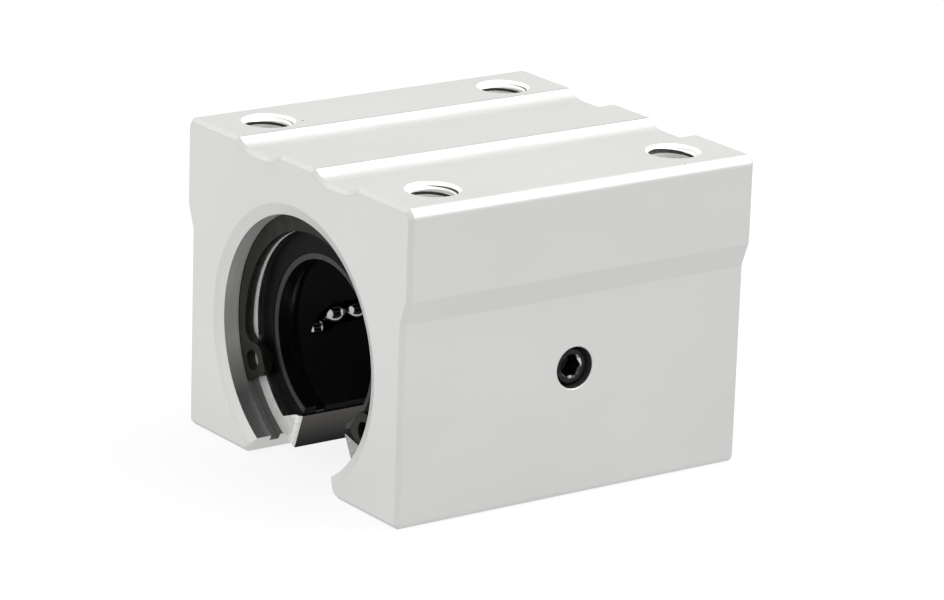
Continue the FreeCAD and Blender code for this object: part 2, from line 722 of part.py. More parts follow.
def make_balls():
    """The balls of every circuit, one node for each stretch of its track."""
    ball = faceted_ball(number("ball_radius"))
    made = []
    for index in range(int(number("circuit_count"))):
        middle = number("circuit_start + bushing_turn + %d * circuit_pitch" % index)
        circuit = Circuit(middle)
        groups = {}
        start = BALL_STARTS[index % len(BALL_STARTS)] * 2 * number("ball_radius")
        for travel in circuit.travels(start):
            placed = ball.copy()
            placed.translate(circuit.place(travel))
            groups.setdefault(circuit.stretch(travel), []).append(placed)
        for stretch, balls in sorted(groups.items()):
            node = document.addObject("Part::Feature", "%s_%d" % (stretch, index + 1))
            node.Label = "%s_%d" % (stretch, index + 1)
            node.Shape = Part.makeCompound(balls)
            made.append(node)
    return made


# ---------------------------------------------------------------------------------------------------
# The whole part
# ---------------------------------------------------------------------------------------------------

REAR_RING = "-(%s + ring_thickness / 2)" % RING_FACE
FRONT_RING = "%s + ring_thickness / 2" % RING_FACE

parts = [
    make_housing(),
    make_adjusting_screw(),
    make_snap_ring("snap_ring_front", FRONT_RING, "front_ring_turn"),
    make_snap_ring("snap_ring_rear", REAR_RING, "rear_ring_turn"),
    make_bearing_sleeve(),
    make_ball_retainer(),
    make_end_ring("front"),
    make_end_ring("rear"),
    make_seal("front"),
    make_seal("rear"),
]
document.recompute()
parts += make_balls()
document.recompute()

for thing in document.Objects:
    if "Invalid" in thing.State or "Error" in thing.State:
        raise RuntimeError("%s is not up to date" % thing.Label)

os.makedirs("parts", exist_ok=True)
for part in parts:
    if part.Shape.isNull() or not part.Shape.isValid():
        raise RuntimeError("%s has no valid shape" % part.Label)
    part.Shape.exportStep("parts/%s.step" % part.Label)
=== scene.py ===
import math

import bmesh
import bpy
from mathutils import Matrix, Vector


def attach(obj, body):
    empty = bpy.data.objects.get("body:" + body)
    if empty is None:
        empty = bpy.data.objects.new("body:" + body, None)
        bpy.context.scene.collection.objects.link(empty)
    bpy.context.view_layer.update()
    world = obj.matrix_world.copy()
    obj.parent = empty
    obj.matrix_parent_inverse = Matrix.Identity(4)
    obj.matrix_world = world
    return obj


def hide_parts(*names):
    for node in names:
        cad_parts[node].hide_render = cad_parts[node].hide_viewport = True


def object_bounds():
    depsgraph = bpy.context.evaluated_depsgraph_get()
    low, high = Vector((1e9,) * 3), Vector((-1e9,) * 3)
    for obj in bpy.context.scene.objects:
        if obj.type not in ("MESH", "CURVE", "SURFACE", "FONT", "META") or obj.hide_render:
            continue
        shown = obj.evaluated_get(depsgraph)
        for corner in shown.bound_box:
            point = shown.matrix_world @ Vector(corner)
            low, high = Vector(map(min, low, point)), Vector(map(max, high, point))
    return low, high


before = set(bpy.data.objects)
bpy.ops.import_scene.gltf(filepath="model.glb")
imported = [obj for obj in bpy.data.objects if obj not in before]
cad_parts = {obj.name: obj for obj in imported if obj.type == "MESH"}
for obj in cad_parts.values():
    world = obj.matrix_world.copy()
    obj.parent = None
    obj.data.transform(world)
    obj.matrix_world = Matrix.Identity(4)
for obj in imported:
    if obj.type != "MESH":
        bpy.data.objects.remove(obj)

cad_low, cad_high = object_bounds()

# ---- Sizes, in millimetres and degrees, as the part's own solids have them ----

MM = 0.001

block_half_width = 24.0
block_half_length = 25.0
top_height = 23.0
foot_depth = 16.0
head_height = 11.0
step_inset = 1.15
step_drop = 3.0
groove_near = 3.5
groove_far = 13.0
groove_depth = 1.05
cove_radius = 5.0
slot_angle = 30.5
top_round = 1.3
foot_round = 0.8
step_round = 0.7
toe_round = 1.6
end_chamfer = 0.5
bore_radius = 16.02
mouth_width = 1.4
mouth_depth = 0.6
ring_groove_radius = 16.85
ring_groove_near = 21.05
ring_groove_far = 22.35
mount_pitch = 35.0
mount_places = [(x * mount_pitch / 2, y * mount_pitch / 2) for x in (-1, 1) for y in (-1, 1)]
mount_radius = 3.0
mount_depth = 12.0
mount_sink = 3.42
mount_lead_depth = 0.76
mount_minor_radius = 2.68
dings = ((-15.5, -13.9, 0.17), (22.8, 15.2, 0.10))
screw_hole_radius = 2.55
screw_hole_sink = 0.14

screw_tip = 16.05
screw_length = 6.0
screw_radius = 2.5
socket_size = 2.5
socket_depth = 2.5
socket_point = 0.6
socket_mouth = 0.10

sleeve_radius = 16.0
sleeve_half_length = 21.0
sleeve_bore = 13.75
sleeve_chamfer = 0.5
race_radius = 13.195
race_half_length = 12.2
race_half_angle = 9.0
opening_angle = 49.0
inner_opening = 51.0
flange_inner = 11.2
flange_angle = 0.8
ear_outline = ((-114.5, 11.2), (-118.2, 11.38), (-127.6, 13.78), (-127.6, 14.2), (-114.5, 14.2))
ear_near = 18.75
cut_corner_round = 0.7
bushing_turn = 3.5

ring_radius = 16.8
ring_inner = 14.467
ring_offset = 0.817
ring_thickness = 1.2
ring_middle = 21.7
lug_angle = 62.0
lug_reach = 11.5
lug_width = 4.4
lug_root_round = 1.7
lug_upper_round = 2.0
lug_lower_round = 0.9
lug_outer_reach = 15.3
lug_hole = 1.25
lug_hole_place = 13.9
gap_inset = 8.0
front_ring_turn = -4.9
rear_ring_turn = 0.0

seal_face = 18.7
seal_thickness = 1.9
seal_body = 10.9
seal_lip = 10.05
seal_lip_width = 1.1

mount_thread_pitch = 1.0
mount_thread_height = 0.38
mount_thread_widths = (0.64, 0.36)
mount_first_crests = (0.55, 0.60, 0.75, 0.35)
crest_side = 146.0
screw_thread_pitch = 0.8
screw_thread_height = 0.4
screw_thread_widths = (0.88, 0.24)
thread_sink = 0.06

ball_radius = 1.5875
circuit_middles = (-18.0, 54.0, 126.0, 198.0)
circuit_half = 18.0
circuit_straight = 11.2
circuit_turn = 3.65
circuit_balls = 21
loaded_radius = 11.5975
return_radius = 12.1
ball_starts = (0.13, 0.54, 0.82, 0.885)
climb_start = math.radians(20)
climb_end = math.radians(62)

# ---- Materials ----


def add_node(tree, kind, inputs=None, **settings):
    """A node with its settings made, and its inputs joined to other nodes' outputs or set to values."""
    node = tree.nodes.new(kind)
    for name, value in settings.items():
        setattr(node, name, value)
    for name, value in (inputs or {}).items():
        if isinstance(value, bpy.types.NodeSocket):
            tree.links.new(value, node.inputs[name])
        else:
            node.inputs[name].default_value = value
    return node


class Finish:
    """A procedural finish: a shader and the nodes that vary its colour, roughness and surface."""

    def __init__(self, name, metallic=1.0, specular=0.5):
        self.material = bpy.data.materials.new(name)
        self.material.use_nodes = True
        self.tree = self.material.node_tree
        self.shader = self.tree.nodes["Principled BSDF"]
        self.shader.inputs["Metallic"].default_value = metallic
        self.shader.inputs["Specular IOR Level"].default_value = specular
        self.place = self.node("ShaderNodeTexCoord").outputs["Object"]
        self.height = None

    def node(self, kind, inputs=None, **settings):
        """A node in the finish's own tree."""
        return add_node(self.tree, kind, inputs, **settings)

    def feed(self, value, name):
        """The value joined to one of the shader's inputs."""
        self.tree.links.new(value, self.shader.inputs[name])

    def grain(self, per_mm, detail=3.0):
        """A noise from 0 to 1 with so many steps for each millimetre along X, Y and Z."""
        mapping = self.node("ShaderNodeMapping", {
            "Vector": self.place, "Scale": [step / MM for step in per_mm]})
        return self.node("ShaderNodeTexNoise", {"Vector": mapping.outputs["Vector"], "Scale": 1.0,
                                                "Detail": detail, "Roughness": 0.6}).outputs["Fac"]

    def along(self, axis):
        """The place along X, Y or Z, in metres."""
        return self.node("ShaderNodeSeparateXYZ", {"Vector": self.place}).outputs[axis]

    def from_axis(self):
        """The distance from the shaft's axis, in metres."""
        flat = self.node("ShaderNodeCombineXYZ", {"X": self.along("X"), "Z": self.along("Z")})
        reach = self.node("ShaderNodeVectorMath", {0: flat.outputs["Vector"]}, operation="LENGTH")
        return reach.outputs["Value"]

    def lathe_marks(self, per_mm, detail=2.0):
        """A noise from 0 to 1 that is the same all the way round the shaft."""
        slant = 0.83
        total = self.node("ShaderNodeMath", {0: self.along("Y"), 1: slant, 2: self.from_axis()},
                          operation="MULTIPLY_ADD")
        return self.node("ShaderNodeTexNoise", {"W": total.outputs["Value"], "Scale": per_mm / MM,
                                                "Detail": detail}, noise_dimensions="1D").outputs["Fac"]

    def ranged(self, value, low, high, start=0.3, end=0.7):
        """The value between start and end, spread from low to high."""
        return self.node("ShaderNodeMapRange", {"Value": value, "From Min": start, "From Max": end,
                                                "To Min": low, "To Max": high}).outputs["Result"]

    def product(self, first, second):
        """Two values multiplied."""
        return self.node("ShaderNodeMath", {0: first, 1: second}, operation="MULTIPLY").outputs["Value"]

    def colour(self, value, dark, light, start=0.3, end=0.7):
        """Colour from dark to light as the value goes from start to end."""
        share = self.ranged(value, 0.0, 1.0, start, end)
        mix = self.node("ShaderNodeMix", {"Factor": share, "A": (*dark, 1.0), "B": (*light, 1.0)},
                        data_type="RGBA")
        self.feed(mix.outputs["Result"], "Base Color")

    def roughness(self, value, low, high):
        """Roughness from low to high."""
        self.feed(self.ranged(value, low, high), "Roughness")

    def bump(self, value, depth_mm):
        """Relief of so many millimetres, added to any relief that is there."""
        relief = self.node("ShaderNodeBump", {"Strength": 1.0, "Distance": depth_mm * MM, "Height": value})
        if self.height is not None:
            self.tree.links.new(self.height, relief.inputs["Normal"])
        self.height = relief.outputs["Normal"]
        self.feed(self.height, "Normal")


def extruded_skin():
    """Clear-anodised extrusion: faint die lines along the block and a fine etched grain."""
    finish = Finish("satin_aluminium_skin")
    cloud = finish.grain((0.06, 0.03, 0.06), detail=2.0)
    finish.colour(cloud, (0.685, 0.685, 0.672), (0.715, 0.715, 0.705))
    finish.roughness(finish.grain((1.2, 0.15, 1.2)), 0.36, 0.44)
    finish.bump(finish.grain((4.0, 0.04, 4.0), detail=2.0), 0.0016)
    finish.bump(finish.grain((9.0, 9.0, 9.0), detail=1.0), 0.0012)
    return finish.material


def sawn_end():
    """The block's end faces, fly-cut and anodised."""
    finish = Finish("satin_aluminium_end")
    cloud = finish.grain((0.07, 0.07, 0.05), detail=2.0)
    finish.colour(cloud, (0.785, 0.785, 0.772), (0.815, 0.815, 0.805))
    finish.roughness(finish.grain((0.5, 1.0, 3.0)), 0.38, 0.46)
    finish.bump(finish.grain((0.15, 1.0, 5.0), detail=2.0), 0.0014)
    finish.bump(finish.grain((8.0, 8.0, 8.0), detail=1.0), 0.0012)
    return finish.material


def bored_aluminium():
    """Turned surfaces of the bore, with tool marks round the axis and painted shade low down."""
    finish = Finish("turned_aluminium", metallic=0.62)
    marks = finish.ranged(finish.lathe_marks(1.6), 0.80, 1.0)
    # Painted shade: the bore is darkened towards the bottom.
    painted_shade_low = finish.ranged(finish.along("Z"), 0.22, 1.0, -9.5 * MM, -3.5 * MM)
    finish.colour(finish.product(marks, painted_shade_low), (0.06, 0.06, 0.06), (0.88, 0.88, 0.87), 0.0, 1.0)
    finish.roughness(finish.grain((0.25, 0.25, 0.25)), 0.26, 0.36)
    finish.bump(finish.lathe_marks(2.2, detail=1.0), 0.0018)
    return finish.material


def turned_mouth():
    """The bore's mouth: a turned chamfer, nearly as pale as the end face."""
    finish = Finish("turned_mouth_aluminium")
    finish.colour(finish.lathe_marks(0.9), (0.72, 0.72, 0.71), (0.76, 0.76, 0.75))
    finish.roughness(finish.grain((0.3, 0.3, 0.3)), 0.46, 0.54)
    finish.bump(finish.lathe_marks(1.4, detail=1.0), 0.001)
    return finish.material


def even(name, tones, rough, relief, metallic=1.0, specular=0.5, detail=3.0, span=(0.3, 0.7)):
    """A finish whose grain is the same in every direction.

    Each grain starts with its steps for each millimetre. The tones go on with the dark and the light
    colour, the roughness with its least and most, and the relief with its depth in millimetres and its
    detail. The detail and the span are the tones' own.
    """
    finish = Finish(name, metallic, specular)
    finish.colour(finish.grain((tones[0],) * 3, detail), tones[1], tones[2], *span)
    finish.roughness(finish.grain((rough[0],) * 3), rough[1], rough[2])
    finish.bump(finish.grain((relief[0],) * 3, relief[2]), relief[1])
    return finish.material


def ground_steel():
    """The sleeve: ground bearing steel with fine rings round its axis."""
    finish = Finish("bearing_steel")
    finish.colour(finish.lathe_marks(1.3), (0.52, 0.52, 0.52), (0.66, 0.66, 0.65))
    finish.roughness(finish.grain((0.4, 0.4, 0.4)), 0.20, 0.30)
    finish.bump(finish.lathe_marks(2.0, detail=1.0), 0.002)
    return finish.material


def ground_end():
    """The sleeve's end faces: ground, with fine bright rings, painted pale as a reflection of the floor and
    darker towards +X as painted shade.
    """
    finish = Finish("ground_end_steel", metallic=0.3)
    rings = finish.ranged(finish.lathe_marks(2.4, detail=1.0), 0.80, 1.0)
    # Painted shade: the end faces are darker towards +X.
    side = finish.ranged(finish.along("X"), 1.0, 0.42, -5.0 * MM, 5.0 * MM)
    # The light colour is pale as a painted reflection of the floor in the ground steel.
    finish.colour(finish.product(rings, side), (0.05, 0.05, 0.05), (0.97, 0.96, 0.94), 0.0, 1.0)
    finish.roughness(finish.grain((0.5, 0.5, 0.5)), 0.20, 0.30)
    finish.bump(finish.lathe_marks(2.4, detail=1.0), 0.0015)
    return finish.material


def cut_steel():
    """The sleeve's cut faces: hardened steel in a brownish grey, with painted shade that darkens them
    outwards.
    """
    finish = Finish("cut_bearing_steel")
    # Painted shade: dark cut faces, darkest at the outside.
    inner, outer = (0.108, 0.104, 0.099), (0.007, 0.007, 0.008)
    finish.colour(finish.from_axis(), inner, outer, flange_inner * MM, sleeve_radius * MM)
    finish.roughness(finish.grain((0.6, 0.2, 0.6)), 0.34, 0.44)
    finish.bump(finish.grain((2.0, 0.3, 2.0), detail=1.0), 0.001)
    return finish.material


skin = extruded_skin()
end_face = sawn_end()
bored = bored_aluminium()
mouth = turned_mouth()
sleeve_steel = ground_steel()
edge_steel = cut_steel()
end_steel = ground_end()

# Tapped threads and countersinks: bright cut metal.
tapped = even("tapped_aluminium", (0.9, (0.88, 0.88, 0.86), (0.96, 0.96, 0.94)), (2.0, 0.30, 0.42),
              (4.0, 0.002, 1.0), metallic=0.35)

# Thread roots, hole walls and small dings: torn metal, dark with painted shade in these recesses.
thread_root = even("recess_painted_shade", (1.5, (0.050, 0.048, 0.044), (0.110, 0.106, 0.098)),
                   (2.0, 0.45, 0.6), (4.0, 0.002, 1.0), metallic=0.7)

# The grub screw's black oxide skin, a little uneven.
black_steel = even("black_oxide_steel", (0.9, (0.012, 0.012, 0.013), (0.034, 0.034, 0.035)),
                   (2.0, 0.28, 0.5), (5.0, 0.006, 3.0), metallic=0.85, span=(0.35, 0.75))

# Black oxide rubbed through to steel, where the key has gone in and out.
worn_steel = even("worn_oxide_steel", (0.8, (0.05, 0.05, 0.052), (0.62, 0.62, 0.60)), (2.0, 0.22, 0.34),
                  (5.0, 0.004, 3.0), metallic=0.9, detail=2.0, span=(0.48, 0.62))

# Snap rings: dark brownish phosphated spring steel.
spring_steel = even("phosphated_steel", (0.5, (0.017, 0.016, 0.014), (0.028, 0.026, 0.023)),
                    (1.2, 0.38, 0.5), (3.0, 0.003, 1.0), metallic=0.8, detail=2.0)

# The end rings: blackened stamped strip.
strip_steel = even("ring_steel", (0.8, (0.045, 0.045, 0.046), (0.070, 0.070, 0.070)), (2.0, 0.3, 0.45),
                   (4.0, 0.004, 3.0))

# The retainer's black engineering resin.
resin = even("black_resin", (0.5, (0.0035, 0.0035, 0.0038), (0.0065, 0.0065, 0.0070)), (1.0, 0.50, 0.62),
             (2.5, 0.002, 1.0), metallic=0.0, specular=0.10)

# The seals' black nitrile rubber, smooth from the mould.
rubber = even("black_rubber", (0.4, (0.0022, 0.0022, 0.0022), (0.0045, 0.0045, 0.0042)), (0.8, 0.26, 0.36),
              (1.2, 0.004, 1.0), metallic=0.0, specular=0.05)

# The seals' lips: a greyer sloped face, a painted sheen on the same black rubber.
lip = even("grey_rubber_lip", (0.5, (0.016, 0.016, 0.016), (0.026, 0.026, 0.025)), (0.8, 0.30, 0.42),
           (1.5, 0.002, 1.0), metallic=0.0, specular=0.30)

# The balls: lapped bearing steel with a film of oil.
ball_steel = even("ball_steel", (0.7, (0.40, 0.40, 0.41), (0.52, 0.52, 0.53)), (1.5, 0.07, 0.14),
                  (4.0, 0.0008, 3.0))

# ---- Shape helpers ----


def arc_points(centre, radius, start, end, steps):
    """Points on an arc, angles in degrees, both ends included."""
    points = []
    for step in range(steps + 1):
        angle = math.radians(start + (end - start) * step / steps)
        points.append((centre[0] + radius * math.cos(angle), centre[1] + radius * math.sin(angle)))
    return points


def rounded(points, radii, steps=6):
    """A closed outline with each corner rounded by its own radius, or kept sharp where that is zero."""
    result = []
    for index, radius in enumerate(radii):
        corner = Vector(points[index])
        before = Vector(points[index - 1]) - corner
        after = Vector(points[(index + 1) % len(points)]) - corner
        if radius == 0:
            result.append(tuple(corner))
            continue
        before.normalize()
        after.normalize()
        half = math.acos(max(-1.0, min(1.0, before.dot(after)))) / 2
        reach = radius / math.tan(half)
        centre = corner + (before + after).normalized() * (radius / math.sin(half))
        first = corner + before * reach - centre
        last = corner + after * reach - centre
        turn = math.atan2(first.x * last.y - first.y * last.x, first.dot(last))
        for step in range(steps + 1):
            angle = turn * step / steps
            spun = Vector((first.x * math.cos(angle) - first.y * math.sin(angle),
                           first.x * math.sin(angle) + first.y * math.cos(angle)))
            result.append(tuple(centre + spun))
    return result


def new_object(name, data):
    """An object in the scene for a mesh, a lamp or a camera."""
    shape = bpy.data.objects.new(name, data)
    bpy.context.scene.collection.objects.link(shape)
    return shape


def closed_mesh(name, corners, faces):
    """A closed mesh from corners in millimetres, its normals outward."""
    mesh = bpy.data.meshes.new(name)
    mesh.from_pydata([Vector(corner) * MM for corner in corners], [], faces)
    work = bmesh.new()
    work.from_mesh(mesh)
    bmesh.ops.remove_doubles(work, verts=work.verts, dist=1e-8)
    bmesh.ops.recalc_face_normals(work, faces=work.faces)
    work.to_mesh(mesh)
    work.free()
    return new_object(name, mesh)


def turned(name, profile, start=0.0, sweep=360.0, steps=180, axis="Y", solid=False, centre=(0.0, 0.0)):
    """A profile of (along, radius) turned round the shaft, round X, or round an upright line at a centre.

    Angles are in degrees, counted from +X towards +Z round the shaft. A solid shape has its first and
    last rings closed by flat caps, and the others have the profile's last edge turned as well.
    """
    whole = sweep >= 360.0
    rings = steps if whole else steps + 1
    corners = []
    for ring in range(rings):
        angle = math.radians(start + sweep * ring / steps)
        for along, radius in profile:
            first, second = radius * math.cos(angle), radius * math.sin(angle)
            corners.append({"X": (along, first, second), "Y": (first, along, second),
                            "Z": (centre[0] + first, centre[1] + second, along)}[axis])
    count = len(profile)
    faces = []
    for ring in range(steps):
        here, there = ring * count, ((ring + 1) % rings) * count
        for index in range(count - 1 if solid else count):
            following = (index + 1) % count
            faces.append((here + index, here + following, there + following, there + index))
    if solid:
        faces.append(tuple(ring * count for ring in range(rings)))
        faces.append(tuple(ring * count + count - 1 for ring in range(rings))[::-1])
    if not whole:
        faces.append(tuple(range(count)))
        faces.append(tuple(range((rings - 1) * count, rings * count))[::-1])
    return closed_mesh(name, corners, faces)


def layered(name, corners, count):
    """A closed mesh from corners in layers of so many, with flat ends."""
    faces = [tuple(range(count)), tuple(range(len(corners) - count, len(corners)))[::-1]]
    for here in range(0, len(corners) - count, count):
        for index in range(count):
            following = (index + 1) % count
            there = here + count
            faces.append((here + index, here + following, there + following, there + index))
    return closed_mesh(name, corners, faces)


def plate(name, outline, near, far):
    """A flat plate: an outline in X and Z between two places along the shaft."""
    return layered(name, [(x, place, z) for place in (near, far) for x, z in outline], len(outline))


def with_modifiers(shape):
    """The shape as its modifiers leave it, as a plain mesh without modifiers."""
    bpy.context.view_layer.update()
    evaluated = shape.evaluated_get(bpy.context.evaluated_depsgraph_get())
    mesh = bpy.data.meshes.new_from_object(evaluated)
    old = shape.data
    shape.modifiers.clear()
    shape.data = mesh
    mesh.name = shape.name
    bpy.data.meshes.remove(old)
    return shape


def combine(shape, others, operation):
    """Cut the other shapes away from a shape, or join them to it, and drop them."""
    for other in others:
        step = shape.modifiers.new("combine", "BOOLEAN")
        step.operation = operation
        step.solver = "EXACT"
        step.object = other
    with_modifiers(shape)
    for other in others:
        mesh = other.data
        bpy.data.objects.remove(other)
        bpy.data.meshes.remove(mesh)
    return shape


def soften(shape, width, limit=35.0, segments=2):
    """Break the sharp edges by a small round."""
    bevel = shape.modifiers.new("edge_break", "BEVEL")
    bevel.width = width * MM
    bevel.segments = segments
    bevel.limit_method = "ANGLE"
    bevel.angle_limit = math.radians(limit)
    bevel.use_clamp_overlap = True
    return with_modifiers(shape)


def shade(shape, materials, choose=None, sharp_angle=40.0):
    """Smooth shading that keeps flats flat, and a material for each face, the first if none is chosen."""
    mesh = shape.data
    mesh.materials.clear()
    for material in materials:
        mesh.materials.append(material)
    for face in mesh.polygons:
        face.use_smooth = True
        face.material_index = materials.index(choose(face)) if choose else 0
    mesh.set_sharp_from_angle(angle=math.radians(sharp_angle))
    flatten = shape.modifiers.new("even_normals", "WEIGHTED_NORMAL")
    flatten.keep_sharp = True
    flatten.weight = 80
    return with_modifiers(shape)


def finish_piece(shape, body, slot_name, *nodes):
    """Hang the piece on its body and put it in place of the plain nodes."""
    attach(shape, body)
    if nodes:
        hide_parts(*nodes)


def turn_about_shaft(shape, degrees):
    """Turn a finished mesh about the shaft, counted from +X towards +Z."""
    shape.data.transform(Matrix.Rotation(math.radians(-degrees), 4, "Y"))
    return shape


# ---- Housing ----


def block_outline(inset):
    """The block's outline in X and Z, drawn in by an inset, slot included."""
    side = block_half_width - step_inset
    toe = foot_depth * math.tan(math.radians(slot_angle))
    cove_run = math.sqrt(2 * cove_radius * groove_depth - groove_depth ** 2)
    cove_angle = math.degrees(math.asin(cove_run / cove_radius))
    step_top = top_height - head_height
    corners = [
        (block_half_width, top_height, top_round),
        (block_half_width, step_top, step_round),
        (side, step_top - step_drop, step_round),
        (side, -foot_depth, foot_round),
        (toe, -foot_depth, toe_round),
        (0.0, 0.0, 0.0),
        (-toe, -foot_depth, toe_round),
        (-side, -foot_depth, foot_round),
        (-side, step_top - step_drop, step_round),
        (-block_half_width, step_top, step_round),
        (-block_half_width, top_height, top_round),
    ]
    outline = rounded([corner[:2] for corner in corners], [corner[2] for corner in corners])
    coves = []
    for near, far in ((-groove_far, -groove_near), (groove_near, groove_far)):
        height = top_height - groove_depth + cove_radius
        coves += arc_points((near + cove_run, height), cove_radius, 270 - cove_angle, 270, 14)
        coves += arc_points((far - cove_run, height), cove_radius, 270, 270 + cove_angle, 14)
    outline += coves
    return drawn_in(outline, inset)


def drawn_in(outline, inset):
    """An outline moved inward by an inset, each point along its own normal."""
    if inset == 0:
        return outline
    moved = []
    for index, point in enumerate(outline):
        here = Vector(point)
        before = here - Vector(outline[index - 1])
        after = Vector(outline[(index + 1) % len(outline)]) - here
        before.normalize()
        after.normalize()
        inward = Vector((before.y, -before.x)) + Vector((after.y, -after.x))
        inward.normalize()
        moved.append(tuple(here + inward * inset / max(0.3, inward.dot(Vector((after.y, -after.x))))))
    return moved


def block_solid():
    """The extruded block with its chamfered ends."""
    break_edge = 0.08
    end = block_half_length
    stations = [
        (-end, end_chamfer + break_edge),
        (-end + 0.02, end_chamfer),
        (-end + end_chamfer - 0.02, 0.03),
        (-end + end_chamfer + break_edge, 0.0),
    ]
    stations += [(-place, inset) for place, inset in reversed(stations)]
    corners = [(x, place, z) for place, inset in stations for x, z in block_outline(inset)]
    return layered("housing_detailed", corners, len(block_outline(0)))


def bore_cutter():
    """What the boring bar takes out: bore, snap-ring grooves and mouth chamfers."""
    end = block_half_length
    burr = 0.1
    rear = [
        (ring_groove_near, bore_radius),
        (ring_groove_near, ring_groove_radius),
        (ring_groove_far, ring_groove_radius),
        (ring_groove_far, bore_radius),
        (end - mouth_depth, bore_radius),
        (end - burr * 0.4, bore_radius + mouth_width - burr),
        (end, bore_radius + mouth_width + burr),
        (end + 1.0, bore_radius + mouth_width + 3.0),
    ]
    front = [(-along, radius) for along, radius in reversed(rear)]
    return turned("bore_cutter", front + rear, steps=256, solid=True)


def mount_hole_cutter(x, y):
    """What the drill and the countersink take out of the top."""
    burr = 0.05
    slope = (mount_sink - mount_minor_radius) / mount_lead_depth
    tip = mount_radius / math.tan(math.radians(59))
    profile = [
        (top_height - mount_depth - tip, 0.01),
        (top_height - mount_depth, mount_radius),
        (top_height - (mount_sink - mount_radius) / slope, mount_radius),
        (top_height - burr * 0.5, mount_sink - burr),
        (top_height, mount_sink + burr),
        (top_height + 1.0, mount_sink + 3.0),
    ]
    return turned("mount_hole_cutter", profile, steps=64, axis="Z", solid=True, centre=(x, y))


def ding_cutter(x, y, size):
    """A small dent in the top face."""
    profile = [(top_height - size * 0.5, 0.01), (top_height - size * 0.35, size * 0.6),
               (top_height + 0.02, size), (top_height + 0.5, size * 1.2)]
    return turned("ding_cutter", profile, steps=10, axis="Z", solid=True, centre=(x, y))


def screw_hole_cutter():
    """What the tap drill takes out of the block's side."""
    side = block_half_width - step_inset
    burr = 0.05
    profile = [
        (bore_radius - 1.5, screw_hole_radius),
        (side - screw_hole_sink, screw_hole_radius),
        (side - burr * 0.5, screw_hole_radius + screw_hole_sink - burr),
        (side, screw_hole_radius + screw_hole_sink + burr),
        (side + 1.0, screw_hole_radius + screw_hole_sink + 2.0),
    ]
    return turned("screw_hole_cutter", profile, steps=96, axis="X", solid=True)


def housing_face(face):
    """Which of the housing's finishes a face has."""
    centre, facing = face.center / MM, face.normal
    from_axis = math.hypot(centre.x, centre.z)
    if abs(centre.y) > block_half_length - 0.01 and abs(facing.y) > 0.99:
        return end_face
    if from_axis < bore_radius + mouth_width + 0.05 and abs(centre.x) < bore_radius + mouth_width:
        facing_axis = facing.x * centre.x + facing.z * centre.z
        if abs(centre.y) > block_half_length - mouth_depth - 0.01 and abs(facing.y) > 0.3:
            return mouth
        in_bore = facing_axis < -0.5 * from_axis or abs(facing.y) > 0.3
        if in_bore and centre.z > -foot_depth + 0.1:
            return bored
    for x, y in mount_places:
        if math.hypot(centre.x - x, centre.y - y) < mount_sink + 0.1 and abs(facing.z) < 0.97:
            # Painted shade: the holes' upright walls take the dark root finish.
            return thread_root if abs(facing.z) < 0.2 else tapped
    for x, y, size in dings:
        if centre.z > top_height - 0.3 and math.hypot(centre.x - x, centre.y - y) < size:
            # Painted shade: the dings take the dark root finish.
            return thread_root
    if math.hypot(centre.y, centre.z) < screw_hole_radius + 0.5 and centre.x > bore_radius:
        if abs(facing.x) < 0.97:
            # Painted shade: the screw hole's wall takes the dark root finish.
            return thread_root if abs(facing.x) < 0.2 else mouth
    return skin


def make_housing():
    """The housing with its bore, its holes and its dings."""
    shape = block_solid()
    cutters = [bore_cutter(), screw_hole_cutter()]
    cutters += [ding_cutter(x, y, size) for x, y, size in dings]
    cutters += [mount_hole_cutter(x, y) for x, y in mount_places]
    combine(shape, cutters, "DIFFERENCE")
    shade(shape, [skin, end_face, bored, tapped, mouth, thread_root], housing_face)
    finish_piece(shape, "block", "satin_aluminium", "housing")


def new_tree(name, inputs):
    """A geometry node tree with its inputs, and the identifier of each input by its name."""
    tree = bpy.data.node_groups.new(name, "GeometryNodeTree")
    sockets = {}
    for label, kind in inputs:
        sockets[label] = tree.interface.new_socket(label, in_out="INPUT", socket_type=kind).identifier
    tree.interface.new_socket("Geometry", in_out="OUTPUT", socket_type="NodeSocketGeometry")
    return tree, sockets


def end_tree(tree, geometry, material):
    """The end of a tree: instances made real, then the material."""
    real = add_node(tree, "GeometryNodeRealizeInstances", {"Geometry": geometry})
    coated = add_node(tree, "GeometryNodeSetMaterial", {
        "Geometry": real.outputs["Geometry"], "Material": material})
    add_node(tree, "NodeGroupOutput", {"Geometry": coated.outputs["Geometry"]})


def grown(name, mesh, tree, sockets, values):
    """What a tree makes of a mesh with its inputs set, as a plain mesh."""
    shape = new_object(name, mesh)
    nodes = shape.modifiers.new(tree.name, "NODES")
    nodes.node_group = tree
    for label, value in values.items():
        nodes[sockets[label]] = value
    return with_modifiers(shape)


